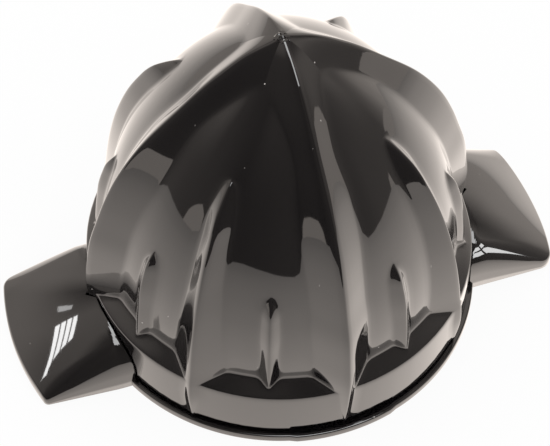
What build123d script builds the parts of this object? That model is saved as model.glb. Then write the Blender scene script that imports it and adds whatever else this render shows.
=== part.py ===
from build123d import *
import os
from math import atan2, cos, hypot, radians, sin, sqrt

# Two-piece reamer of an electric citrus press, moulded in black plastic.
# Millimetres, +Z up. The origin is the centre of the underside, on the axis of rotation.
# The wings lie along +X and -X, and the two lifting tabs of the rim along +Y and -Y.

# Disc and the seam above it
rim_radius = 37.5
rim_height = 1.7
seam_gap = 1.0
tab_proud = 0.25
tab_angle = 31.0
tab_count = 2

# Large cone, outside
skirt_margin = 1.0
crease_height = 12.9
ledge_width = 3.3
ledge_rise = 2.1
cone_height = 71.1
crest_cover = 1.4
secondary_drop = 16.9
tertiary_drop = 34.7
notch_depth = 0.55
notch_margin_angle = 0.6
gate_radius = 1.5
gate_rise = 0.3

# Large cone, inside
wall = 2.0
fin_thickness = 1.6
fin_top = 38.0
fin_count = 4

# Small cone, which carries the large one
small_radius = 19.5
small_rib_depth = 2.5
small_height = 44.0
small_secondary_drop = 11.0
small_wall = 1.8

# Drive hub inside the small cone, a tube open at both ends
socket_radius = 4.1
hub_length = 26.4
hub_wall = 2.6
hub_recess = 0.8
key_width = 1.8
key_depth = 1.1
key_length = 18.0
key_count = 2
web_thickness = 1.6
web_count = 4

# Wings
wing_length = 15.8
wing_half_width = 15.0
wing_wall_height = 2.0
wing_round_width = 10.5
wing_round_height = 9.6
wing_crown = 0.4
wing_crown_width = 2.6
wing_slope = 0.275
wing_shell = 1.8
wing_corner_share = 0.2
wing_start_share = 0.65
wing_count = 2

# Fits between the two pieces
skirt_clearance = 0.4
crest_clearance = 0.5
fin_clearance = 0.5
overrun = 2.0

skirt_bottom = rim_height + seam_gap
skirt_radius = rim_radius - skirt_margin
ledge_radius = skirt_radius - ledge_width
ledge_height = crease_height + ledge_rise
floor_height = cone_height - crest_cover
secondary_height = cone_height - secondary_drop
tertiary_height = cone_height - tertiary_drop
small_floor_radius = small_radius - small_rib_depth
small_floor_height = small_height - crest_cover
small_secondary_height = small_height - small_secondary_drop
hub_radius = socket_radius + hub_wall
hub_top = hub_recess + hub_length
wing_reach = rim_radius + wing_length
full_turn = 360
quarter_turn = full_turn / 4
rib_turn = quarter_turn / 2
fine_turn = rib_turn / 2
round_steps = 6
ledge_drop_share = 0.53
diagonal = sqrt(2)

# Meridians of the cones as (radius, height) shares, from the foot up.
# The floor between the ribs: shares of the floor's foot radius, and of the rise from foot to tip.
floor_shares = [
    (1.0, 0.0), (0.99, 0.106), (0.965, 0.213), (0.922, 0.323), (0.858, 0.437),
    (0.765, 0.554), (0.64, 0.673), (0.474, 0.79), (0.262, 0.901), (0.0, 1.0),
]
# The crests of the ribs: shares of the skirt's radius, and of the height where each crest ends.
primary_shares = [
    (1.008, 0.038), (1.035, 0.158), (1.042, 0.221), (1.027, 0.306), (1.001, 0.39),
    (0.965, 0.453), (0.919, 0.527), (0.847, 0.614), (0.729, 0.709), (0.518, 0.822),
    (0.339, 0.907), (0.154, 0.97), (0.0, 1.0),
]
secondary_shares = [
    (1.01, 0.05), (1.03, 0.17), (1.025, 0.23), (1.013, 0.29), (1.0, 0.358), (0.97, 0.478),
    (0.936, 0.576), (0.899, 0.656), (0.848, 0.745), (0.788, 0.825), (0.736, 0.884),
    (0.695, 0.918), (0.658, 0.941), (0.611, 0.967), (0.565, 0.987), (0.5, 1.0),
]
tertiary_shares = [
    (0.955, 0.38), (0.949, 0.484), (0.936, 0.618), (0.921, 0.737), (0.899, 0.825),
    (0.875, 0.895), (0.842, 0.943), (0.78, 1.0),
]
widest_crest = skirt_radius * max(r for r, z in primary_shares)


def meridian(shares, radius, height, base=0):
    """Turns shares into (radius, height) points above the given base."""
    return [(r * radius, base + z * height) for r, z in shares]


def inset(points, depth):
    """Moves each point of a meridian inwards, square to the line through its neighbours."""
    moved = []
    for i, (r, z) in enumerate(points):
        before = points[max(i - 1, 0)]
        after = points[min(i + 1, len(points) - 1)]
        run, rise = after[0] - before[0], after[1] - before[1]
        size = hypot(run, rise)
        moved.append((max(r - depth * rise / size, 0), z + depth * run / size))
    return moved


def upright_face(low, points):
    """The face between the axis and a meridian: straight through low, then smooth through points."""
    top = points[-1]
    foot = (0, low[0][1])
    straight = [foot] + low + [points[0]]
    closing = [top, foot] if top[0] == 0 else [top, (0, top[1]), foot]
    edges = Polyline(*[(r, 0, z) for r, z in straight])
    edges += Spline(*[(r, 0, z) for r, z in points])
    edges += Polyline(*[(r, 0, z) for r, z in closing])
    return make_face(edges)


def turned(low, points):
    """A solid of revolution about the axis."""
    return revolve(upright_face(low, points), Axis.Z, full_turn)


def four_ribs(points, bottom):
    """Four ribs whose crests follow the points: every level section is a square, crests at its corners."""
    side = diagonal * points[0][0]
    foot = Box(side, side, points[0][1] - bottom, align=(Align.CENTER, Align.CENTER, Align.MIN))
    levels = [Pos(0, 0, z) * Rectangle(diagonal * r, diagonal * r) for r, z in points if r > 0]
    if points[-1][0] == 0:
        levels.append(Vertex(0, 0, points[-1][1]))
    return Rot(0, 0, rib_turn) * (Pos(0, 0, bottom) * foot + loft(levels))


def column(radius, bottom, top):
    """A round column on the axis."""
    flat = Cylinder(radius, top - bottom, align=(Align.CENTER, Align.CENTER, Align.MIN))
    return Pos(0, 0, bottom) * flat


def sector(radius, bottom, top, angle, middle):
    """A slice of a round column whose middle lies in the given direction."""
    flat = Cylinder(radius, top - bottom, arc_size=angle, align=(Align.NONE, Align.NONE, Align.MIN))
    return Pos(0, 0, bottom) * Rot(0, 0, middle - angle / 2) * flat


def plate(length, thickness, bottom, top, direction):
    """An upright plate that runs outwards from the axis in the given direction."""
    flat = Box(length, thickness, top - bottom, align=(Align.MIN, Align.CENTER, Align.MIN))
    return Rot(0, 0, direction) * Pos(0, 0, bottom) * flat


# The floors and crests of both cones
large_floor = meridian(floor_shares, ledge_radius, floor_height - ledge_height, ledge_height)
large_primary = meridian(primary_shares, skirt_radius, cone_height)
large_secondary = meridian(secondary_shares, skirt_radius, secondary_height)
large_tertiary = meridian(tertiary_shares, skirt_radius, tertiary_height)
small_rise = small_height - rim_height
small_floor = meridian(floor_shares, small_floor_radius, small_floor_height - rim_height, rim_height)
small_primary = meridian(primary_shares, small_radius, small_rise, rim_height)
small_secondary = meridian(secondary_shares, small_radius, small_secondary_height - rim_height, rim_height)


def small_body(clearance=0):
    """The small cone's outer form, which goes down into the disc, or that form grown by a clearance."""
    body = turned([(small_floor_radius + clearance, 0)], inset(small_floor, -clearance))
    body += four_ribs(inset(small_primary, -clearance * diagonal), 0)
    body += Rot(0, 0, rib_turn) * four_ribs(inset(small_secondary, -clearance * diagonal), 0)
    return body


def cone_body():
    """The large cone's outer form: skirt, ledge, fluted dome and three orders of ribs."""
    body = turned([(skirt_radius, skirt_bottom), (skirt_radius, crease_height)], large_floor)
    body += four_ribs(large_primary, skirt_bottom)
    body += Rot(0, 0, rib_turn) * four_ribs(large_secondary, skirt_bottom)
    for turn in (-fine_turn, fine_turn):
        body += Rot(0, 0, turn) * four_ribs(large_tertiary, skirt_bottom)
    return body


def cone_hollow():
    """The space inside the large cone, which follows its ribs at one wall's distance."""
    inner_skirt = skirt_radius - wall
    inner_crease = crease_height - ledge_drop_share * wall
    low = [(inner_skirt, -overrun), (inner_skirt, inner_crease)]
    hollow = turned(low, inset(large_floor, wall))
    hollow += four_ribs(inset(large_primary, wall * diagonal), -overrun)
    hollow += Rot(0, 0, rib_turn) * four_ribs(inset(large_secondary, wall * diagonal), -overrun)
    return hollow


def large_cone():
    """The large cone with its inner fins, the two notches over the lifting tabs and the gate mark."""
    body = cone_body()
    shell = body - cone_hollow()
    envelope = small_body(fin_clearance)
    for i in range(fin_count):
        direction = fine_turn + i * full_turn / fin_count
        fin = plate(skirt_radius - wall / 2, fin_thickness, skirt_bottom, fin_top, direction)
        foot = plate(skirt_radius - wall, fin_thickness, rim_height, skirt_bottom, direction)
        shell += (fin & body) - envelope
        shell += foot - envelope
    for i in range(tab_count):
        middle = quarter_turn + i * full_turn / tab_count
        angle = tab_angle + 2 * notch_margin_angle
        reach = skirt_radius + overrun
        shell -= sector(reach, skirt_bottom - overrun, skirt_bottom + notch_depth, angle, middle)
    shell += column(gate_radius, cone_height - gate_radius, cone_height + gate_rise)
    return shell


def wing_outline(inward, level, grown):
    """A wing's plan, moved inwards and laid on the plane that slopes down towards the wing's end."""
    side = wing_half_width - inward - grown
    reach = wing_reach - inward - grown
    corner = wing_corner_share * side
    centre_x = sqrt((reach - corner) ** 2 - (side - corner) ** 2)
    centre_y = side - corner
    along = atan2(centre_y, centre_x)
    middle = (along + radians(quarter_turn)) / 2
    start = wing_start_share * rim_radius

    def lift(x, y):
        return (x, y, level - grown + wing_slope * (skirt_radius - x))

    def corner_points(sign):
        bend = (centre_x + corner * cos(middle), sign * (centre_y + corner * sin(middle)))
        end = (centre_x + corner * cos(along), sign * (centre_y + corner * sin(along)))
        return lift(centre_x, sign * side), lift(*bend), lift(*end)

    near, far = corner_points(-1), corner_points(1)
    edges = Line(lift(start, -side), near[0])
    edges += ThreePointArc(*near)
    edges += ThreePointArc(near[2], lift(reach, 0), far[2])
    edges += ThreePointArc(*reversed(far))
    edges += Polyline(far[0], lift(start, side), lift(start, -side))
    return make_face(edges)


def wing_form(grown=0):
    """A loaf-shaped wing along +X; a positive value draws every face inwards."""
    drop = wing_slope * (wing_reach - skirt_radius) + overrun
    outlines = [wing_outline(0, -drop, grown), wing_outline(0, (wing_wall_height - drop) / 2, grown)]
    for i in range(round_steps + 1):
        turn = radians(quarter_turn) * i / round_steps
        inward = wing_round_width * (1 - cos(turn))
        outlines.append(wing_outline(inward, wing_wall_height + wing_round_height * sin(turn), grown))
    top = wing_wall_height + wing_round_height + wing_crown
    outlines.append(wing_outline(wing_round_width + wing_crown_width, top, grown))
    return loft(outlines)


def wing():
    """One hollow wing along +X, open below, grooved where the large cone's rib slides down."""
    form = wing_form()
    hollow = wing_form(wing_shell)
    end_wall = widest_crest + crest_clearance + wing_shell
    full_width = 2 * wing_half_width
    room = Box(wing_reach, full_width, wing_reach, align=(Align.MIN, Align.CENTER, Align.CENTER))
    form -= hollow & (Pos(end_wall, 0, 0) * room)
    above = Box(2 * wing_reach, full_width, wing_reach, align=(Align.CENTER, Align.CENTER, Align.MIN))
    form = form & above
    tall = rim_height + wing_reach
    form -= column(skirt_radius + skirt_clearance, rim_height, tall)
    side = diagonal * (widest_crest + crest_clearance)
    groove = Box(side, side, tall, align=(Align.CENTER, Align.CENTER, Align.MIN))
    form -= Pos(0, 0, rim_height) * Rot(0, 0, rib_turn) * groove
    return form


def winged_cone():
    """The small cone with its disc, wings, lifting tabs and keyed drive hub, as one moulding."""
    body = column(rim_radius, 0, rim_height)
    for i in range(tab_count):
        middle = quarter_turn + i * full_turn / tab_count
        body += sector(rim_radius + tab_proud, 0, rim_height, tab_angle, middle)
    one_wing = wing()
    for i in range(wing_count):
        body += Rot(0, 0, i * full_turn / wing_count) * one_wing
    outside = small_body()
    hollow_foot = small_floor_radius - small_wall
    hollow = turned([(hollow_foot, -overrun)], inset(small_floor, small_wall))
    body = body + outside - hollow
    body += column(hub_radius, hub_recess, hub_top)
    for i in range(web_count):
        web = plate(small_floor_radius, web_thickness, hub_recess, hub_top, i * full_turn / web_count)
        body += web & outside
    body -= column(socket_radius, -overrun, hub_top + overrun)
    for i in range(key_count):
        direction = rib_turn + i * full_turn / key_count
        body -= plate(socket_radius + key_depth, key_width, -overrun, hub_recess + key_length, direction)
    return body


os.makedirs("parts", exist_ok=True)
pieces = {"large_cone": large_cone(), "winged_cone": winged_cone()}
for name, piece in pieces.items():
    piece.label = name
    export_step(piece, f"parts/{name}.step")
    print(name, len(piece.solids()), "solid", round(piece.volume), "mm3")
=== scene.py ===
import bpy
import math
import numpy as np
from mathutils import Matrix, Vector


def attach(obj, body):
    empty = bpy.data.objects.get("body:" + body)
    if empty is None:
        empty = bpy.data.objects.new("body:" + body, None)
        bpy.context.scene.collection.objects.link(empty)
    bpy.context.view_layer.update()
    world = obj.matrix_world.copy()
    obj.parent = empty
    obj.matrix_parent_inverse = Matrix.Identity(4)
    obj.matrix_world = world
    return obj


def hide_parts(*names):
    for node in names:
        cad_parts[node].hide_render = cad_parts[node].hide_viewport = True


# Two-piece reamer of an electric citrus press, injection moulded in glossy black plastic.
# Sizes are in millimetres and become metres as a mesh is made. The rule of each shape stands above it.

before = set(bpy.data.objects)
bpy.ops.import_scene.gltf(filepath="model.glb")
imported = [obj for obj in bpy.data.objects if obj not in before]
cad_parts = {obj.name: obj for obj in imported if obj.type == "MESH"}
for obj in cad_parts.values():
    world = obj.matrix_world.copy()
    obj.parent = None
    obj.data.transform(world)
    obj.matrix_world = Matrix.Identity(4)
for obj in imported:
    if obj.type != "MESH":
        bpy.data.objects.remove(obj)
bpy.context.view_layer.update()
mm = 0.001
perMetre = 1000.0   # a pattern's scale is this over its spacing in mm
print("frame loaded:", sorted(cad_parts))


# Meshes

def gridFaces(rows, columns, wrap):
    # Quads between neighbouring rows of a grid; the columns close on themselves when wrap is true.
    across = np.arange(columns if wrap else columns - 1)
    down = np.arange(rows - 1)[:, None]
    left, right = down * columns + across, down * columns + (across + 1) % columns
    return np.stack([left, right, right + columns, left + columns], -1).reshape(-1, 4)


def makePiece(name, points, faces, crisp=None):
    # Equal points are welded, so seams and poles close; the sign of the volume turns all faces outwards.
    # Shading is smooth, but for edges where faces meet at more than the crisp angle in degrees.
    points = np.asarray(points, float).reshape(-1, 3) * mm
    weld = 0.002 * mm
    keys = np.round(points / weld).astype(np.int64)
    _, first, back = np.unique(keys, axis=0, return_index=True, return_inverse=True)
    points, faces = points[first], back.reshape(-1)[faces]
    a, b, c, d = (points[faces[:, i]] for i in range(4))
    volume = np.einsum("ij,ij->i", a, np.cross(b, c) + np.cross(c, d)).sum()
    if volume < 0:
        faces = faces[:, ::-1]
    same = faces == np.roll(faces, -1, axis=1)
    whole = ~same.any(axis=1)
    thin = faces[same.sum(axis=1) == 1]
    thinSame = thin == np.roll(thin, -1, axis=1)
    triangles = thin[~thinSame].reshape(-1, 3)
    mesh = bpy.data.meshes.new(name)
    mesh.from_pydata(points.tolist(), [], faces[whole].tolist() + triangles.tolist())
    mesh.update()
    mesh.polygons.foreach_set("use_smooth", [True] * len(mesh.polygons))
    if crisp:
        mesh.set_sharp_from_angle(angle=math.radians(crisp))
    piece = bpy.data.objects.new(name, mesh)
    bpy.context.scene.collection.objects.link(piece)
    return piece


def smoothCurve(points, steps=24):
    # A curve through the points: cubic Hermite pieces whose tangents follow the neighbouring points.
    points = np.asarray(points, float)
    chord = np.append(0, np.cumsum(np.hypot(*np.diff(points, axis=0).T)))
    slope = np.gradient(points, chord, axis=0)
    place = np.linspace(0, len(points) - 1, (len(points) - 1) * steps + 1)
    i = np.minimum(place.astype(int), len(points) - 2)
    t, span = (place - i)[:, None], np.diff(chord)[i][:, None]
    return ((2 * t**3 - 3 * t**2 + 1) * points[i] + (t**3 - 2 * t**2 + t) * span * slope[i]
            + (3 * t**2 - 2 * t**3) * points[i + 1] + (t**3 - t**2) * span * slope[i + 1])


def eased(start, stop, count, ends="both"):
    # Numbers from start up to, but without, stop; closer together towards the named ends.
    t = np.arange(count) / count
    if ends == "both":
        t = (1 - np.cos(np.pi * t)) / 2
    elif ends == "start":
        t = 1 - np.cos(np.pi * t / 2)
    else:
        t = np.sin(np.pi * t / 2)
    return start + (stop - start) * t


def softMax(a, b, blendWidth):
    # The larger of two fields, with the corner between them rounded over blendWidth.
    return (a + b + np.sqrt((a - b) ** 2 + blendWidth**2)) / 2


# Meridians of the floor between the ribs and of the ribs' crests, from the foot up: shares of a radius
# and of a height

floorShares = [(1.0, 0.0), (0.99, 0.106), (0.965, 0.213), (0.922, 0.323), (0.858, 0.437),
               (0.765, 0.554), (0.64, 0.673), (0.474, 0.79), (0.262, 0.901), (0.0, 1.0)]
primaryShares = [(1.008, 0.038), (1.035, 0.158), (1.042, 0.221), (1.027, 0.306), (1.001, 0.39),
                 (0.965, 0.453), (0.919, 0.527), (0.847, 0.614), (0.729, 0.709), (0.518, 0.822),
                 (0.339, 0.907), (0.154, 0.97), (0.0, 1.0)]
secondaryShares = [(1.01, 0.05), (1.03, 0.17), (1.025, 0.23), (1.013, 0.29), (1.0, 0.358), (0.97, 0.478),
                   (0.936, 0.576), (0.899, 0.656), (0.848, 0.745), (0.788, 0.825), (0.736, 0.884),
                   (0.695, 0.918), (0.658, 0.941), (0.611, 0.967), (0.565, 0.987), (0.5, 1.0)]
tertiaryShares = [(0.955, 0.38), (0.949, 0.484), (0.936, 0.618), (0.921, 0.737), (0.899, 0.825),
                  (0.875, 0.895), (0.842, 0.943), (0.78, 1.0)]
# Points of sharpness and height in mm: a crest of sharpness 1 is a square corner, more is a narrower rib
squareCorner = [(1.0, 0.0), (1.0, 80.0)]
primarySharpness = [(1.04, 0.0), (1.04, 50.0), (1.1, 57.0), (1.12, 61.0), (1.25, 65.0), (1.27, 72.0)]
secondarySharpness = [(0.87, 0.0), (0.87, 24.0), (0.95, 30.0), (1.02, 33.5), (1.12, 37.0), (1.22, 41.0),
                      (1.35, 45.5), (1.38, 55.0)]
quarterTurn = math.pi / 2
ribTurn, fineTurn = quarterTurn / 2, quarterTurn / 4
diagonal = math.sqrt(2)


def meridian(shares, radius, height, base=0.0):
    # Points of radius and height in mm.
    return np.array([(r * radius, base + z * height) for r, z in shares])


def inset(points, depth):
    # Each point of a meridian moves inwards, square to the line through its neighbours.
    run, rise = np.gradient(points, axis=0).T
    size = np.hypot(run, rise)
    radius = np.maximum(points[:, 0] - depth * rise / size, 0)
    return np.stack([radius, points[:, 1] + depth * run / size], 1)


def valueAt(z, points):
    # The value at a height on the smooth curve through points of value and height.
    curve = smoothCurve(points)
    return np.interp(z, curve[:, 1], curve[:, 0])


def radiusAt(z, points):
    # The radius of a meridian at a height: straight below its first point, falling fast above its last.
    steepness = 3.0
    return valueAt(z, points) - steepness * np.maximum(z - points[-1, 1], 0)


def ribRadius(crest, angle, turn, sharpness, edge):
    # A level section of four ribs is a star with a corner on each crest, rounded there by edge: the
    # radius is the crest's over cosine plus sharpness times sine of the angle off the crest.
    off = (angle - turn + ribTurn) % quarterTurn - ribTurn
    soft = edge / np.maximum(crest, edge)
    return crest / (np.cos(off) + sharpness * (np.sqrt(np.sin(off) ** 2 + soft**2) - soft))


def coneRadius(form, angle, z):
    # The floor of revolution and the stars of the ribs, joined by taking the largest.
    radius = form["floor"](z) + 0 * angle
    for points, turn, sharpness in form["ribs"]:
        crest = np.maximum(radiusAt(z, points), 0)
        width = np.minimum(form["fillet"], radius / 4)
        star = ribRadius(crest, angle, turn, valueAt(z, sharpness), form["edge"])
        radius = softMax(radius, star, width)
    return np.maximum(radius, 0)


def flankAngle(crest, floor, sharpness):
    # How far from its crest, as an angle about the axis, the flank of a rib meets the floor.
    reach = np.clip(crest / (np.maximum(floor, 0.01) * np.hypot(1, sharpness)), 0.1, 1)
    return np.arctan(sharpness) - np.arccos(reach)


columnPlan = {
    "leastFlank": 0.45, "markHalf": 0.2,   # degrees
    "primaryMost": 0.86, "secondaryMost": 0.45, "fineMost": 0.8,   # shares of the room beside a flank
    "counts": [7, 6, 2, 5, 6, 6, 8, 8],   # columns from each bound to the next
}


def markAt(angle, flank):
    # A mark at an angle between the flanks of a primary rib and of the fine rib beside it.
    return {"share": (angle - flank) / (fineTurn - 2 * flank), "half": math.radians(columnPlan["markHalf"])}


def ribColumns(form, z, mark):
    # Angles of the grid's columns: eight mirrored sectors from a primary to a secondary crest. In each
    # row the columns gather at the crests, at the feet of the flanks and at one marked angle.
    plan = columnPlan
    least = math.radians(plan["leastFlank"])
    floor = form["floor"](z)
    flanks = [flankAngle(np.maximum(radiusAt(z, points), 0), floor, valueAt(z, sharpness))
              for points, turn, sharpness in form["ribs"]]
    primary = np.clip(flanks[0], least, ribTurn * plan["primaryMost"])
    secondary = np.clip(flanks[1], least, (ribTurn - primary) * plan["secondaryMost"])
    free = (primary + ribTurn - secondary) / 2
    if len(flanks) > 2:
        # from the fine ribs' top to halfway up to the tip, their columns move to the middle of the floor
        top = form["ribs"][2][0][-1, 1]
        rise = np.clip((z - top) / (form["top"] - top) * 2, 0, 1)
        middle = fineTurn + (free - fineTurn) * rise**2 * (3 - 2 * rise)
        fine = flanks[2]
    else:
        middle, fine = free, 0 * z
    beside = np.minimum(middle - primary, ribTurn - secondary - middle)
    fine = np.clip(fine, least, beside * plan["fineMost"])
    place = primary + (middle - fine - primary) * mark["share"]
    half = np.minimum(mark["half"], (place - primary) / 3)
    bounds = np.stack([0 * z, primary, place - half, place + half, middle - fine, middle,
                       middle + fine, ribTurn - secondary, ribTurn + 0 * z], 1)
    counts = plan["counts"]
    index = np.repeat(np.arange(len(counts)), counts)
    share = np.concatenate([eased(0, 1, count) for count in counts])
    sector = bounds[:, index] + (bounds[:, index + 1] - bounds[:, index]) * share
    corner = np.full((len(z), 1), ribTurn)
    quarter = np.hstack([sector, corner, quarterTurn - sector[:, :0:-1]])
    return np.hstack([quarter + i * quarterTurn for i in range(4)])


def inDirection(angle, middle, spread):
    # 1 within spread on either side of the middle angle or its opposite, else 0.
    hair = 1e-6
    off = (angle - middle + quarterTurn) % (2 * quarterTurn) - quarterTurn
    return (np.abs(off) <= spread + hair).astype(float)


def placeOnCircle(radius, angle, z):
    radius, angle, z = np.broadcast_arrays(radius, angle, z)
    return np.stack([radius * np.cos(angle), radius * np.sin(angle), z], -1)


# The disc's rim and the seam above it, which both pieces follow

rim = {
    "radius": 37.5, "height": 1.7, "seam": 1.0, "tabProud": 0.25, "tabAngle": 31.0, "edge": 0.3,
    "middle": -quarterTurn,  # the tabs lie along -Y and +Y
}


# Large cone

largeCone = {
    "skirtRadius": 36.5, "creaseHeight": 12.9, "ledgeWidth": 3.3, "ledgeRise": 2.1, "height": 71.1,
    "crestCover": 1.4, "secondaryTop": 54.2, "tertiaryTop": 36.4, "wall": 2.0,
    "creaseRound": 0.35, "footFillet": 0.5, "filletReach": 6.0, "flankFillet": 0.3, "crestRound": 0.35,
    "creaseSink": 0.53,   # how far the crease lies lower inside, as a share of the wall
    "notchDepth": 0.55, "notchMargin": 0.6, "notchFade": 4.0, "notchFlank": 0.008, "edge": 0.3,
}


def largeForm(depth=0.0):
    # The outer form, or the form one wall further in, which has no fine ribs.
    s = largeCone
    skirt = s["skirtRadius"] - depth
    ledgeTop = s["creaseHeight"] + s["ledgeRise"]
    floorRadius, floorTop = s["skirtRadius"] - s["ledgeWidth"], s["height"] - s["crestCover"]
    floorPoints = inset(meridian(floorShares, floorRadius, floorTop - ledgeTop, ledgeTop), depth)
    slope = s["ledgeWidth"] / s["ledgeRise"]
    crease = s["creaseHeight"] - depth * s["creaseSink"]

    def floor(z):
        # The wall between the ribs, or the sloping ledge where that is wider, but no wider than the skirt.
        low = z < ledgeTop + s["filletReach"]
        ledge = skirt - (z - crease) * slope
        wall = np.maximum(radiusAt(z, floorPoints), 0)
        inner = np.maximum(softMax(wall, ledge, np.where(low, s["footFillet"], 0)), 0)
        return -softMax(-inner, -skirt + 0 * z, np.where(low, s["creaseRound"], 0))

    primary = inset(meridian(primaryShares, s["skirtRadius"], s["height"]), depth * diagonal)
    secondary = inset(meridian(secondaryShares, s["skirtRadius"], s["secondaryTop"]), depth * diagonal)
    tertiary = meridian(tertiaryShares, s["skirtRadius"], s["tertiaryTop"])
    ribs = [(primary, 0, primarySharpness), (secondary, ribTurn, secondarySharpness)]
    if depth == 0:
        ribs += [(tertiary, fineTurn, squareCorner), (tertiary, -fineTurn, squareCorner)]
    return {"floor": floor, "ribs": ribs, "fillet": s["flankFillet"], "edge": s["crestRound"],
            "top": primary[-1, 1]}


def coneShell(inside, outside, bottom, notch, mark, edge, insideRows, outsideRows):
    # Rows run from the inner apex down the inside, round the lower edge and up the outside to the apex.
    # Where a notch lifts the edge, the rows above it come level again over the notch's fade.
    rows = []
    turn = np.linspace(0, quarterTurn, 4)[:, None]
    for form, levels, sign in ((inside, insideRows, -1), (outside, outsideRows, 1)):
        levels = np.asarray(levels, float)
        angle = ribColumns(form, levels, mark)
        fade = np.clip(1 - (levels - levels[0]) / largeCone["notchFade"], 0, 1)[:, None]
        z = levels[:, None] + notch(angle) * fade
        wall = placeOnCircle(coneRadius(form, angle, levels[:, None]), angle, z)
        first = coneRadius(form, angle[:1], levels[:1, None])
        lower = placeOnCircle(first - sign * edge * (1 - np.sin(turn)), angle[:1] + 0 * turn,
                              bottom + notch(angle[:1]) + edge * (1 - np.cos(turn)))
        grid = np.concatenate([lower[:-1], wall])
        rows.append(grid[::-1] if sign < 0 else grid)
    return np.concatenate(rows)


def makeLargeCone():
    s = largeCone
    bottom = rim["height"] + rim["seam"]
    inside, outside = largeForm(s["wall"]), largeForm()
    ledgeTop = s["creaseHeight"] + s["ledgeRise"]
    start = bottom + s["edge"]
    outsideRows = np.concatenate([
        eased(start, s["creaseHeight"], 14), eased(s["creaseHeight"], ledgeTop, 10),
        eased(ledgeTop, s["tertiaryTop"], 42), eased(s["tertiaryTop"], s["secondaryTop"], 30),
        eased(s["secondaryTop"], outside["top"], 44, "stop"), [outside["top"]]])
    innerCrease = s["creaseHeight"] - s["wall"] / 2
    insideRows = np.concatenate([
        eased(start, innerCrease, 5), eased(innerCrease, ledgeTop, 6),
        eased(ledgeTop, inside["top"], 36, "stop"), [inside["top"]]])
    spread = math.radians(rim["tabAngle"] / 2 + s["notchMargin"])

    def notch(angle):
        return s["notchDepth"] * inDirection(angle, rim["middle"], spread)

    mark = markAt(spread, s["notchFlank"])
    points = coneShell(inside, outside, bottom, notch, mark, s["edge"], insideRows, outsideRows)
    piece = makePiece("large_cone_shell", points, gridFaces(*points.shape[:2], True))
    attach(piece, "large_cone")
    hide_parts("large_cone")
    return piece


gateScar = {
    "radius": 1.35, "top": 71.05, "foot": 70.0, "rough": 0.16, "ragged": 0.3, "droop": 0.45,
    "columns": 22, "rows": 6, "seed": 5,
}


def makeGateScar():
    # The rough stub at the very top where the sprue broke off: rings about the axis that spread as they
    # fall, each point pushed off its ring by a seeded random share.
    s = gateScar
    random = np.random.default_rng(s["seed"])
    share = np.linspace(0, 1, s["rows"] + 1)[:, None]
    angle = np.arange(s["columns"])[None] * 2 * math.pi / s["columns"]
    push = random.uniform(-1, 1, (2, s["rows"] + 1, s["columns"]))
    push[:, 0] = push[:, 0, :1]
    radius = s["radius"] * share * (1 + s["ragged"] * push[0])
    z = s["top"] + s["rough"] * push[1] - s["droop"] * share**2
    points = np.concatenate([placeOnCircle(radius, angle, z), placeOnCircle(radius[-1:], angle, s["foot"]),
                             placeOnCircle(0, angle, s["foot"])])
    piece = makePiece("gate_scar", points, gridFaces(*points.shape[:2], True), crisp=25)
    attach(piece, "large_cone")
    return piece


largeShell = makeLargeCone()
scar = makeGateScar()
print("large cone:", len(largeShell.data.polygons), "faces")


# Small cone with its disc, and the hub inside it

smallCone = {
    "radius": 19.5, "ribDepth": 2.5, "height": 44.0, "crestCover": 1.4, "secondaryTop": 33.0,
    "wall": 1.8, "flankFillet": 0.4, "crestRound": 0.35, "footFillet": 1.0, "footReach": 6.0,
    "mouthEdge": 0.3, "tabFlank": 0.03,
}
hub = {
    "bore": 4.1, "wall": 2.6, "recess": 0.8, "length": 26.4, "keyWidth": 1.8, "keyDepth": 1.1,
    "keyLength": 18.0, "edge": 0.25, "webThickness": 1.6, "webs": 4,
}
fins = {"thickness": 1.6, "top": 38.0, "clearance": 0.6, "count": 4}


def smallForm():
    s = smallCone
    base = rim["height"]
    rise = s["height"] - base
    floorPoints = meridian(floorShares, s["radius"] - s["ribDepth"], rise - s["crestCover"], base)
    primary = meridian(primaryShares, s["radius"], rise, base)
    secondary = meridian(secondaryShares, s["radius"], s["secondaryTop"] - base, base)
    ribs = [(primary, 0, squareCorner), (secondary, ribTurn, squareCorner)]
    return {"floor": lambda z: np.maximum(radiusAt(z, floorPoints), 0), "floorPoints": floorPoints,
            "ribs": ribs, "fillet": s["flankFillet"], "edge": s["crestRound"], "top": s["height"]}


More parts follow.
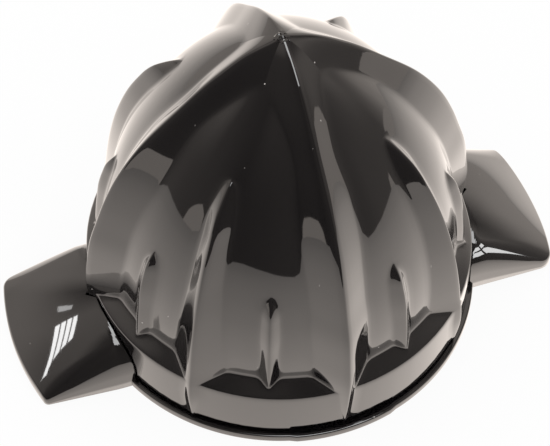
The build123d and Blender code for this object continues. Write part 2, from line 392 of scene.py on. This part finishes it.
def makeDiscAndCone():
    # Rows run from the hollow's apex down to its mouth, out under the disc, over the rim, in along the
    # disc's top and up the ribbed outside of the small cone to its tip.
    s = smallCone
    form = smallForm()
    hollow = inset(form["floorPoints"], s["wall"])
    hollowTop, mouth = hollow[-1, 1], hollow[0, 0]
    spread = math.radians(rim["tabAngle"] / 2)
    mark = markAt(spread, s["tabFlank"])
    rise = np.concatenate([eased(rim["height"], s["secondaryTop"], 34),
                           eased(s["secondaryTop"], s["height"], 40, "stop"), [s["height"]]])
    angle = ribColumns(form, rise, mark)
    foot = angle[:1]
    outer = rim["radius"] + rim["tabProud"] * inDirection(foot, rim["middle"], spread)
    edge, turn = rim["edge"], np.linspace(0, quarterTurn, 5)[:, None]

    inside = np.append(hollowTop, hollowTop - eased(0, hollowTop, 26, "start")[1:])[:, None]
    rows = [placeOnCircle(np.maximum(radiusAt(inside, hollow), 0) * (inside < hollowTop), foot, inside)]
    lip = s["mouthEdge"]
    rows.append(placeOnCircle(mouth + lip * (1 - np.cos(turn)), foot, lip * (1 - np.sin(turn))))
    under = eased(0, 1, 8)[1:, None]
    rows.append(placeOnCircle(mouth + lip + (outer - edge - mouth - lip) * under, foot, 0))
    rows.append(placeOnCircle(outer - edge * (1 - np.sin(turn)), foot, edge * (1 - np.cos(turn))))
    top = rim["height"]
    rows.append(placeOnCircle(outer - edge * (1 - np.cos(turn)), foot, top - edge * (1 - np.sin(turn))))
    start = coneRadius(form, foot, rise[:1, None])
    inward = eased(0, 1, 8)[1:, None]
    fillet = s["footFillet"]
    rows.append(placeOnCircle(outer - edge + (start + fillet - outer + edge) * inward, foot, top))
    rows.append(placeOnCircle(start + fillet * (1 - np.sin(turn[:-1])), foot,
                              top + fillet * (1 - np.cos(turn[:-1]))))
    lifted = rise[:, None] + fillet * np.clip(1 - (rise[:, None] - top) / s["footReach"], 0, 1)
    rows.append(placeOnCircle(coneRadius(form, angle, lifted), angle, lifted))
    points = np.concatenate(rows)
    piece = makePiece("disc_and_small_cone", points, gridFaces(*points.shape[:2], True))
    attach(piece, "winged_cone")
    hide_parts("winged_cone")
    return piece


def makeHub():
    # A tube open at both ends; two key slots widen the bore from below, up to the length of the keys.
    s, hair = hub, 0.001
    corner = math.asin(s["keyWidth"] / 2 / (s["bore"] + s["keyDepth"]))
    side = math.asin(s["keyWidth"] / 2 / s["bore"])
    bounds = [0, corner, side, math.pi - side, math.pi - corner]
    stops = bounds[1:] + [math.pi]
    half = np.concatenate([eased(a, b, n) for a, b, n in zip(bounds, stops, (4, 3, 34, 3, 4))])
    angle = np.concatenate([half, half + math.pi])[None]
    off = (angle + quarterTurn) % math.pi - quarterTurn
    slot = np.minimum((s["bore"] + s["keyDepth"]) / np.cos(off),
                      s["keyWidth"] / 2 / np.maximum(np.abs(np.sin(off)), hair))
    keyed, plain = np.maximum(slot, s["bore"]), s["bore"] + 0 * angle
    outer = s["bore"] + s["wall"] + 0 * angle
    low, high, edge = s["recess"], s["recess"] + s["length"], s["edge"]
    keyTop = low + s["keyLength"]
    rings = [(keyed + edge, low), (keyed, low + edge), (keyed, keyTop), (plain, keyTop + hair),
             (plain, high - edge), (plain + edge, high), (outer - edge, high), (outer, high - edge),
             (outer, low + edge), (outer - edge, low), (keyed + edge, low)]
    points = np.concatenate([placeOnCircle(radius, angle + ribTurn, z) for radius, z in rings])
    piece = makePiece("drive_hub", points, gridFaces(*points.shape[:2], True), crisp=30)
    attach(piece, "winged_cone")
    return piece


def makePlate(name, direction, thickness, near, far, levels, body):
    # An upright plate: at each level a rectangle from the near to the far radius, closed above and below.
    levels = np.asarray(levels, float)
    near, far = near + 0 * levels, far + 0 * levels
    middle = (near + far) / 2
    levels = np.concatenate([levels[:1], levels, levels[-1:]])
    near = np.concatenate([middle[:1], near, middle[-1:]])
    far = np.concatenate([middle[:1], far, middle[-1:]])
    side = np.full(len(levels), thickness / 2)
    side[[0, -1]] = 0
    x = np.stack([near, far, far, near], 1)
    y = np.stack([-side, -side, side, side], 1)
    c, v = math.cos(direction), math.sin(direction)
    points = np.stack([x * c - y * v, x * v + y * c, levels[:, None] + 0 * x], -1)
    piece = makePiece(name, points, gridFaces(len(levels), 4, True), crisp=30)
    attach(piece, body)
    return piece


def makeWebs():
    # Four webs carry the hub; each reaches into the middle of the small cone's wall.
    s = hub
    form = smallForm()
    levels = np.linspace(s["recess"], s["recess"] + s["length"], 12)
    hollow = inset(form["floorPoints"], smallCone["wall"] / 2)
    far = np.minimum(radiusAt(levels, hollow), hollow[0, 0])
    return [makePlate("hub_web_%d" % (i + 1), i * quarterTurn, s["webThickness"],
                      s["bore"] + s["wall"] / 2, far, levels, "winged_cone")
            for i in range(s["webs"])]


def makeFins():
    # Fins between the cones, which stand on the disc: in the seam they end at the skirt's inner side, and
    # above it they reach into the middle of the large cone's wall.
    s, hair = fins, 0.01
    base, bottom = rim["height"], rim["height"] + rim["seam"]
    inner, outer = smallForm(), largeForm(largeCone["wall"] / 2)
    levels = np.concatenate([[base, bottom, bottom + hair], np.linspace(bottom + 1, s["top"], 22)])
    near = coneRadius(inner, np.array(fineTurn), levels) + s["clearance"]
    far = coneRadius(outer, np.array(fineTurn), levels)
    far[:2] = largeCone["skirtRadius"] - largeCone["wall"]
    return [makePlate("inner_fin_%d" % (i + 1), fineTurn + i * quarterTurn, s["thickness"],
                      near, far, levels, "large_cone")
            for i in range(s["count"])]


discAndCone = makeDiscAndCone()
hubPieces = [makeHub()] + makeWebs()
finPieces = makeFins()
print("disc, small cone, hub and fins:", len(discAndCone.data.polygons), "faces")


# Wings

wing = {
    "reach": 52.9, "halfWidth": 15.0, "taper": 0.5, "sweep": 0.7, "corners": (2.8, 1.0),
    "height": 12.0, "rootSlope": 0.42, "endSlope": 0.88, "edgeRound": 0.3, "edgeShare": 0.6,
    "sideDrop": 0.33, "sidePower": 2.2, "shoulderDrop": 0.33,   # drops are shares of the ridge's height
    "shoulderStart": 0.74,   # share of the half width
    "shell": 1.8, "skirtClearance": 0.25, "crestClearance": 0.3, "middle": (44.0, 0.0),
}


def alongWing(x):
    # 0 at the skirt and 1 at the wing's end.
    root = largeCone["skirtRadius"]
    return np.clip((x - root) / (wing["reach"] - root), 0, 1)


def wingHeight(x, y):
    # The ridge falls as a parabola, ever steeper towards the end; to the sides the height falls as a
    # power of the distance from the ridge and ends in a quarter circle's shoulder.
    w = wing
    along, run = alongWing(x), w["reach"] - largeCone["skirtRadius"]
    ridge = w["height"] - run * (w["rootSlope"] * along + (w["endSlope"] - w["rootSlope"]) * along**2 / 2)
    off = np.minimum(np.abs(y + w["sweep"] * along) / (w["halfWidth"] - w["taper"] * along), 1)
    out = np.clip((off - w["shoulderStart"]) / (1 - w["shoulderStart"]), 0, 1)
    shoulder = w["shoulderDrop"] * (1 - np.sqrt(1 - out**2))
    return ridge * (1 - w["sideDrop"] * off ** w["sidePower"] - shoulder)


def wingLoop(inward, grown, rootAt, grooveHalf):
    # One loop of a wing seen from above, against the clock from the root: a side, the rounded corners and
    # the arc of the end about the axis, the other side, and back across the root, where the columns gather
    # at the groove for the large cone's rib.
    w, sideSteps = wing, 16
    side, reach = w["halfWidth"] - inward - grown, w["reach"] - inward - grown
    ends = []
    for corner in w["corners"]:
        cx, cy = math.sqrt((reach - corner) ** 2 - (side - corner) ** 2), side - corner
        turn = np.linspace(quarterTurn, math.atan2(cy, cx), 9)
        ends.append(np.stack([cx + corner * np.cos(turn), cy + corner * np.sin(turn)], -1))
    near, far = ends[0] * [1, -1], ends[1][::-1]
    sweep = np.linspace(math.atan2(near[-1, 1], near[-1, 0]), math.atan2(far[0, 1], far[0, 0]), 31)[1:-1]
    across = np.concatenate([eased(side, grooveHalf, 8), eased(grooveHalf, -grooveHalf, 6),
                             eased(-grooveHalf, -side, 8)])
    start, out = rootAt(side), eased(0, 1, sideSteps)
    x = np.concatenate([start + (near[0, 0] - start) * out, near[:, 0], reach * np.cos(sweep),
                        far[:, 0], start + (far[-1, 0] - start) * out[:0:-1], rootAt(across)])
    y = np.concatenate([np.full(sideSteps, -side), near[:, 1], reach * np.sin(sweep),
                        far[:, 1], np.full(sideSteps - 1, side), across])
    along = alongWing(x)
    return np.stack([x, y * (1 - w["taper"] * along / w["halfWidth"]) - w["sweep"] * along], -1)


def wingRows(grown, rootAt, grooveHalf):
    # Loops from the ground up: an upright wall, its rounded edge, and the domed top, whose loops shrink
    # towards a middle point. The wall is as high as the top is there.
    w = wing
    rows = []

    def addRow(loop, lower, share=1.0):
        z = np.maximum(wingHeight(loop[:, 0], loop[:, 1]) - grown - lower, 0) * share
        rows.append(np.column_stack([loop, z]))

    edge = w["edgeRound"]
    outline = wingLoop(0, grown, rootAt, grooveHalf)
    low = np.minimum(edge, wingHeight(outline[:, 0], outline[:, 1]) * w["edgeShare"])
    for share in (0, 0.5):
        addRow(outline, low, share)
    for turn in np.linspace(0, quarterTurn, 6):
        addRow(wingLoop(edge * (1 - math.cos(turn)), grown, rootAt, grooveHalf), low * (1 - math.sin(turn)))
    last, middle = rows[-1][:, :2], np.array(w["middle"])
    for share in 1 - eased(0, 1, 46, "start")[1:]:
        addRow(middle + (last - middle) * share, 0 * low)
    addRow(middle + 0 * last, 0 * low)
    return np.stack(rows)


def makeWing(name, sign):
    # A shell open below. Its root follows the skirt's cylinder with a clearance, but for a pointed groove
    # that the large cone's rib stands in.
    w = wing
    cylinder = largeCone["skirtRadius"] + w["skirtClearance"]
    corner = largeCone["skirtRadius"] * max(r for r, z in primaryShares) + w["crestClearance"]
    grooveHalf = (corner - math.sqrt(2 * cylinder**2 - corner**2)) / 2
    outer = wingRows(0, lambda y: np.maximum(np.sqrt(cylinder**2 - y**2), corner - np.abs(y)), grooveHalf)
    inner = wingRows(w["shell"], lambda y: corner + w["shell"] + 0 * y, grooveHalf)
    points = np.concatenate([inner[::-1], outer]) * [sign, sign, 1]
    piece = makePiece(name, points, gridFaces(*points.shape[:2], True))
    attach(piece, "winged_cone")
    return piece


wings = [makeWing("wing_right", 1), makeWing("wing_left", -1)]
print("wings:", len(wings[0].data.polygons), "faces each")


# Camera, fitted to the photograph: angles in degrees, distances in radii of the rim

view = {
    "azimuth": -19.98, "elevation": 53.93, "roll": 0.875, "distance": 12.371,
    "right": -0.0184, "up": 0.2665, "focalPixels": 2396.4, "widthPixels": 550,
}


def makeCamera():
    v = view
    unit = rim["radius"] * mm
    azimuth, elevation, roll = (math.radians(v[k]) for k in ("azimuth", "elevation", "roll"))
    back = Vector((math.sin(azimuth) * math.cos(elevation), -math.cos(azimuth) * math.cos(elevation),
                   math.sin(elevation)))
    level = Vector((math.cos(azimuth), math.sin(azimuth), 0))
    up = back.cross(level)
    right = level * math.cos(roll) + up * math.sin(roll)
    up = back.cross(right)
    camera = bpy.data.objects.new("camera", bpy.data.cameras.new("camera"))
    bpy.context.scene.collection.objects.link(camera)
    camera.data.sensor_width = 36.0
    camera.data.lens = v["focalPixels"] / v["widthPixels"] * camera.data.sensor_width
    camera.data.clip_start, camera.data.clip_end = 0.01, 20.0
    place = (back * v["distance"] + right * v["right"] + up * v["up"]) * unit
    camera.matrix_world = Matrix((
        (right.x, up.x, back.x, place.x), (right.y, up.y, back.y, place.y),
        (right.z, up.z, back.z, place.z), (0, 0, 0, 1)))
    bpy.context.scene.camera = camera


makeCamera()
bpy.context.scene.view_settings.view_transform = "Standard"


# Finishes

def hexColour(code):
    # An sRGB hex value as the linear colour that a shader takes.
    parts = [int(code[i:i + 2], 16) / 255 for i in (1, 3, 5)]
    return tuple(p / 12.92 if p <= 0.04045 else ((p + 0.055) / 1.055) ** 2.4 for p in parts) + (1,)


def addNode(tree, kind, options=None, inputs=None):
    # One node with its own options and its inputs, each a plain value or another node's output.
    node = tree.nodes.new(kind)
    for key, value in (options or {}).items():
        setattr(node, key, value)
    for key, value in (inputs or {}).items():
        if isinstance(value, bpy.types.NodeSocket):
            tree.links.new(value, node.inputs[key])
        else:
            node.inputs[key].default_value = value
    return node


def addMath(tree, operation, a, b):
    # One step of arithmetic between two values.
    return addNode(tree, "ShaderNodeMath", {"operation": operation}, {0: a, 1: b}).outputs[0]


def addVectorMath(tree, operation, output, *vectors):
    # One step of arithmetic with vectors, of which the named output is taken.
    inputs = dict(enumerate(vectors))
    return addNode(tree, "ShaderNodeVectorMath", {"operation": operation}, inputs).outputs[output]


def newMaterial(name):
    material = bpy.data.materials.new(name)
    material.use_nodes = True
    material.node_tree.nodes.clear()
    return material, material.node_tree


blackPlastic = {
    "colour": "#141213", "fleckColour": "#b9b2ad",
    # ABS bends light by about 1.54; body and skin were raised from there until the mirrored room was as
    # bright as in the photograph
    "roughness": 0.05, "ior": 1.7, "specularLevel": 0.7, "skinIor": 1.8, "skinRoughness": 0.03,
    "swell": 14.0, "swellHeight": 0.012,      # mm: slow waves of the cooled skin, and how high they stand
    "swellDetail": 1.5, "swellRoughness": 0.4,
    "fleckSpacing": 5.6, "fleckSize": 0.17,   # mm: dust, the radius of the larger flecks that the photo shows
    "fleckCore": 0.6,                         # the share of a fleck that is solid
    "scratchSpacing": 3.2, "scratchWidth": 0.1, "scratchStretch": 26.0,   # mm, and length over width
    "scratchCore": 0.5, "scratchStrength": 0.45, "scratchLean": (0.25, 0.12, 0.0),
    "markRoughness": 0.6,
}


def makePlastic(name):
    # Black ABS from a polished mould, which looks like deep black glass: all that the eye gets is the room
    # mirrored in its skin. The image bends where the wall sank as it cooled, and is broken by a few flecks
    # of dust and hairline scratches, as on a part kept in a drawer.
    s = blackPlastic
    material, tree = newMaterial(name)
    place = addNode(tree, "ShaderNodeTexCoord").outputs["Object"]
    swell = addNode(tree, "ShaderNodeTexNoise", inputs={
        "Vector": place, "Scale": perMetre / s["swell"], "Detail": s["swellDetail"],
        "Roughness": s["swellRoughness"]})
    bump = addNode(tree, "ShaderNodeBump", inputs={
        "Height": swell.outputs["Fac"], "Distance": s["swellHeight"] * mm, "Strength": 1.0})
    fleck = addNode(tree, "ShaderNodeTexVoronoi", inputs={
        "Vector": place, "Scale": perMetre / s["fleckSpacing"], "Randomness": 1.0})
    fleckMask = addNode(tree, "ShaderNodeMapRange", {"clamp": True}, {
        "Value": fleck.outputs["Distance"], "From Min": s["fleckSize"] / s["fleckSpacing"],
        "From Max": s["fleckCore"] * s["fleckSize"] / s["fleckSpacing"], "To Min": 0.0, "To Max": 1.0})
    drawn = addNode(tree, "ShaderNodeMapping", inputs={
        "Vector": place, "Rotation": s["scratchLean"], "Scale": (1.0, 1.0, 1 / s["scratchStretch"])})
    scratch = addNode(tree, "ShaderNodeTexVoronoi", inputs={
        "Vector": drawn.outputs["Vector"], "Scale": perMetre / s["scratchSpacing"], "Randomness": 1.0})
    scratchMask = addNode(tree, "ShaderNodeMapRange", {"clamp": True}, {
        "Value": scratch.outputs["Distance"], "From Min": s["scratchWidth"] / s["scratchSpacing"],
        "From Max": s["scratchCore"] * s["scratchWidth"] / s["scratchSpacing"],
        "To Min": 0.0, "To Max": s["scratchStrength"]})
    marks = addMath(tree, "MAXIMUM", fleckMask.outputs["Result"], scratchMask.outputs["Result"])
    colour = addNode(tree, "ShaderNodeMix", {"data_type": "RGBA"}, {
        "Factor": marks, "A": hexColour(s["colour"]), "B": hexColour(s["fleckColour"])})
    rough = addNode(tree, "ShaderNodeMapRange", inputs={
        "Value": marks, "To Min": s["roughness"], "To Max": s["markRoughness"]})
    shader = addNode(tree, "ShaderNodeBsdfPrincipled", inputs={
        "Base Color": colour.outputs["Result"], "Roughness": rough.outputs["Result"], "IOR": s["ior"],
        "Specular IOR Level": s["specularLevel"], "Coat Weight": 1.0, "Coat IOR": s["skinIor"],
        "Coat Roughness": s["skinRoughness"], "Normal": bump.outputs["Normal"],
        "Coat Normal": bump.outputs["Normal"]})
    addNode(tree, "ShaderNodeOutputMaterial", inputs={"Surface": shader.outputs["BSDF"]})
    return material


def finish(pieces, material):
    # Each piece has this one material.
    for piece in pieces:
        piece.data.materials.clear()
        piece.data.materials.append(material)


finish([largeShell, scar] + finPieces, makePlastic("black_abs_polished_cone"))
finish([discAndCone] + wings + hubPieces, makePlastic("black_abs_polished_base"))
print("finishes:", len(bpy.data.materials))


# Floor and light

studio = {
    "floorHalf": 900.0, "floorTop": -0.05, "floorGlow": 0.92, "warm": "#fff4eb",
    # how bright the gloss finds the floor at a distance in mm, and how much more towards the back right
    "floorTones": [(30, 1.38), (50, 1.17), (80, 0.94), (120, 0.8), (180, 0.69), (300, 0.54), (600, 0.39)],
    "floorLean": (0.21, 0.25),
    # how far off the room stands at an azimuth, and its height, both in mm
    "reach": [(-180, 700), (-120, 700), (-100, 520), (-40, 450), (-20, 300), (0, 215), (15, 230),
              (30, 300), (50, 450), (70, 650), (110, 750), (180, 700)],
    "height": 700.0, "step": 5.0,   # and the angle in degrees between its columns
    # azimuth from -Y towards +X in degrees, and the tone of the room there, where 1 is white; between the
    # two heights in mm the low tones turn into the high ones
    "lowTones": [(-180, 0.35), (-160, 0.45), (-140, 0.52), (-122, 0.45), (-112, 0.2), (-104, 0.15),
                 (-92, 0.11), (-76, 0.085), (-66, 0.06), (-55, 0.03), (-45, 0.04), (-30, 0.05),
                 (-15, 0.065), (5, 0.045), (20, 0.06), (28, 0.1), (40, 0.11), (50, 0.145), (70, 0.155),
                 (84, 0.16), (92, 0.3), (100, 0.55), (112, 0.7), (140, 0.5), (180, 0.35)],
    "highTones": [(-180, 0.4), (-144, 0.44), (-134, 0.12), (-120, 0.35), (-97, 0.3), (-84, 0.1),
                  (-70, 0.07), (-50, 0.055), (-35, 0.085), (-20, 0.1), (-5, 0.055), (10, 0.055),
                  (30, 0.1), (50, 0.11), (70, 0.2), (84, 0.35), (100, 0.1), (114, 0.18), (130, 0.43),
                  (180, 0.4)],
    "toneHeights": (120.0, 450.0),
    # azimuths between which the white paper curls up, and how high in mm; it stands this far inside the room
    "curls": [(-84, -54, 100.0), (62, 100, 88.0)], "curlInside": 6.0, "curlTone": 0.55,
}
# Windows, each mirrored by one wing only: azimuths and elevations in degrees, distance in mm, panes across
# and up, and the number of the wing
windows = [
    {"turn": (-121, -107), "lift": (25.5, 36.5), "reach": 420.0, "strength": 4.8, "panes": (1, 4), "wing": 1},
    {"turn": (-126, -123.5), "lift": (25, 33), "reach": 420.0, "strength": 1.6, "panes": (1, 1), "wing": 1},
    {"turn": (18, 60), "lift": (14, 42), "reach": 215.0, "strength": 3.6, "panes": (2, 2), "wing": 0},
]
windowBar = 0.12   # the frame round a pane, as a share of the pane's room
ceilingStrip = {"left": -40.0, "right": 100.0, "near": -140.0, "far": 25.0, "height": 300.0, "strength": 2.4}


def rays(tree, *kinds):
    # 1 for the kinds of ray named, else 0.
    path = addNode(tree, "ShaderNodeLightPath")
    total = path.outputs[kinds[0]]
    for kind in kinds[1:]:
        total = addMath(tree, "MAXIMUM", total, path.outputs[kind])
    return total


def addRamp(tree, value, stops):
    # A colour that runs through the stops, each a place from 0 to 1 and a colour.
    ramp = addNode(tree, "ShaderNodeValToRGB", inputs={"Fac": value})
    elements = ramp.color_ramp.elements
    while len(elements) < len(stops):
        elements.new(0.5)
    for element, (place, colour) in zip(elements, stops):
        element.position = place
        element.color = tuple(colour) + (1,)
    return ramp.outputs["Color"]


def makeGlow(name, colour, strength):
    # A material that only shines.
    material, tree = newMaterial(name)
    glow = addNode(tree, "ShaderNodeEmission", inputs={"Color": colour, "Strength": strength})
    addNode(tree, "ShaderNodeOutputMaterial", inputs={"Surface": glow.outputs[0]})
    return material


def makeRectangle(name, left, right, near, far, height):
    points = [[left, near, height], [right, near, height], [right, far, height], [left, far, height]]
    return makePiece(name, points, np.array([[0, 1, 2, 3]]))


def makeFloor():
    # Matt white paper that takes the object's shadow and also glows: plain white to the camera, and to the
    # gloss warm and darker the further off it lies.
    s = studio
    half = s["floorHalf"]
    floor = makeRectangle("floor", -half, half, -half, half, s["floorTop"])
    material, tree = newMaterial("white_paper")
    seen = rays(tree, "Is Camera Ray", "Is Glossy Ray", "Is Transmission Ray")
    camera = rays(tree, "Is Camera Ray")
    colour = addNode(tree, "ShaderNodeMix", {"data_type": "RGBA"}, {
        "Factor": camera, "A": hexColour(s["warm"]), "B": (1, 1, 1, 1)})
    place = addNode(tree, "ShaderNodeTexCoord").outputs["Object"]
    distance = addVectorMath(tree, "LENGTH", "Value", place)
    start, stop = (s["floorTones"][i][0] for i in (0, -1))
    far = addNode(tree, "ShaderNodeMapRange", inputs={
        "Value": distance, "From Min": start * mm, "From Max": stop * mm})
    brightest = max(tone for _, tone in s["floorTones"])
    fall = addRamp(tree, far.outputs["Result"], [((at - start) / (stop - start), (tone / brightest,) * 3)
                                                 for at, tone in s["floorTones"]])
    away = addVectorMath(tree, "NORMALIZE", "Vector", place)
    leanTo = tuple(brightest * part for part in s["floorLean"]) + (0,)
    lean = addVectorMath(tree, "DOT_PRODUCT", "Value", away, leanTo)
    level = addMath(tree, "MULTIPLY", addMath(tree, "ADD", lean, brightest), fall)
    strength = addNode(tree, "ShaderNodeMix", {"data_type": "FLOAT"}, {
        "Factor": camera, "A": level, "B": 1.0})
    glow = addNode(tree, "ShaderNodeEmission", inputs={
        "Color": colour.outputs["Result"], "Strength": strength.outputs["Result"]})
    matt = addNode(tree, "ShaderNodeBsdfDiffuse", inputs={"Color": (1, 1, 1, 1)})
    both = addNode(tree, "ShaderNodeMixShader", inputs={
        0: addMath(tree, "MULTIPLY", seen, s["floorGlow"]), 1: matt.outputs[0], 2: glow.outputs[0]})
    addNode(tree, "ShaderNodeOutputMaterial", inputs={"Surface": both.outputs[0]})
    finish([floor], material)


def roomReach(azimuth):
    # How far off the room stands in a direction.
    degrees, reach = zip(*studio["reach"])
    return np.interp(np.degrees(azimuth), degrees, reach)


def makeRoom():
    # The room round the paper, which only the gloss sees: a tent whose radius and tone follow the azimuth.
    s = studio
    azimuth = np.radians(np.arange(-180, 180, s["step"]))[None]
    up = np.linspace(0, quarterTurn, 19)[:, None]
    reach = roomReach(azimuth) * np.cos(up)
    points = np.stack([reach * np.sin(azimuth), -reach * np.cos(azimuth),
                       s["height"] * np.sin(up) + 0 * reach], -1)
    room = makePiece("room", points, gridFaces(*points.shape[:2], True))
    material, tree = newMaterial("room_tones")
    place = addNode(tree, "ShaderNodeTexCoord").outputs["Object"]
    axes = addNode(tree, "ShaderNodeSeparateXYZ", inputs={"Vector": place}).outputs
    turn = addMath(tree, "ARCTAN2", axes["X"], addMath(tree, "MULTIPLY", axes["Y"], -1.0))
    share = addNode(tree, "ShaderNodeMapRange", inputs={
        "Value": turn, "From Min": -math.pi, "From Max": math.pi})
    warm = hexColour(s["warm"])
    ramps = [addRamp(tree, share.outputs["Result"], [((degrees + 180) / 360, [c * tone for c in warm[:3]])
                                                     for degrees, tone in tones])
             for tones in (s["lowTones"], s["highTones"])]
    low, high = s["toneHeights"]
    lift = addNode(tree, "ShaderNodeMapRange", {"interpolation_type": "SMOOTHSTEP"}, {
        "Value": axes["Z"], "From Min": low * mm, "From Max": high * mm})
    tone = addNode(tree, "ShaderNodeMix", {"data_type": "RGBA"}, {
        "Factor": lift.outputs["Result"], "A": ramps[0], "B": ramps[1]})
    glow = addNode(tree, "ShaderNodeEmission", inputs={"Color": tone.outputs["Result"], "Strength": 1.0})
    addNode(tree, "ShaderNodeOutputMaterial", inputs={"Surface": glow.outputs[0]})
    finish([room], material)
    showInGlossOnly(room)


def showInGlossOnly(piece):
    # Neither the camera nor the paper sees this piece of the stage, and it throws no shadow.
    piece.visible_camera = piece.visible_diffuse = piece.visible_shadow = False
    piece.visible_transmission = piece.visible_volume_scatter = False


def makeCurls():
    # The edges of the paper curl up beside the camera: upright bands whose height swells and falls again.
    s = studio
    material = makeGlow("white_paper_edge", hexColour(s["warm"]), s["curlTone"])
    for i, (start, stop, height) in enumerate(s["curls"]):
        t = np.linspace(0, 1, 25)[None]
        azimuth = np.radians(start + (stop - start) * t)
        z = np.linspace(0, 1, 3)[:, None] * height * np.sin(math.pi * t) ** 0.5
        reach = roomReach(azimuth) - s["curlInside"] + 0 * z
        points = np.stack([reach * np.sin(azimuth), -reach * np.cos(azimuth), z], -1)
        curl = makePiece("paper_curl_%d" % (i + 1), points, gridFaces(*points.shape[:2], False))
        finish([curl], material)
        showInGlossOnly(curl)


def makeWindows():
    # A window of the room: lit panes in a grid, on a plane square to the line from the object. Its light
    # is linked to the one wing that mirrors it, and the cone sees through it to the room behind.
    for i, s in enumerate(windows):
        (left, right), (low, high), (across, rows) = s["turn"], s["lift"], s["panes"]
        turn, tilt = math.radians((left + right) / 2), math.radians((low + high) / 2)
        level = math.cos(tilt)
        away = np.array([math.sin(turn) * level, -math.cos(turn) * level, math.sin(tilt)])
        side = np.array([math.cos(turn), math.sin(turn), 0])
        rise = np.cross(side, away)
        width = s["reach"] * level * math.radians(right - left)
        tall = s["reach"] * math.radians(high - low)
        near, far = windowBar, 1 - windowBar
        points = [away * s["reach"] + side * width * ((u + a) / across - 0.5)
                  + rise * tall * ((v + b) / rows - 0.5)
                  for u in range(across) for v in range(rows)
                  for a, b in ((near, near), (far, near), (far, far), (near, far))]
        window = makePiece("window_%d" % (i + 1), points, np.arange(len(points)).reshape(-1, 4))
        material, tree = newMaterial("window_light_%d" % (i + 1))
        glow = addNode(tree, "ShaderNodeEmission", inputs={"Color": (1, 1, 1, 1), "Strength": s["strength"]})
        clear = addNode(tree, "ShaderNodeBsdfTransparent")
        both = addNode(tree, "ShaderNodeAddShader", inputs={0: glow.outputs[0], 1: clear.outputs[0]})
        addNode(tree, "ShaderNodeOutputMaterial", inputs={"Surface": both.outputs[0]})
        finish([window], material)
        showInGlossOnly(window)
        receivers = bpy.data.collections.new("lit_by_window_%d" % (i + 1))
        receivers.objects.link(wings[s["wing"]])
        window.light_linking.receiver_collection = receivers


def makeCeilingStrip():
    # A strip light overhead, which draws the thin bright lines along the crests.
    s = ceilingStrip
    strip = makeRectangle("ceiling_strip", s["left"], s["right"], s["near"], s["far"], s["height"])
    finish([strip], makeGlow("strip_light", (1, 1, 1, 1), s["strength"]))
    showInGlossOnly(strip)


def makeWorld():
    # Plain white all round, which is also the soft light on the paper.
    world = bpy.data.worlds.new("studio")
    bpy.context.scene.world = world
    world.use_nodes = True
    world.node_tree.nodes["Background"].inputs["Color"].default_value = (1, 1, 1, 1)


makeFloor()
makeRoom()
makeCurls()
makeWindows()
makeCeilingStrip()
makeWorld()
print("floor and light ready")
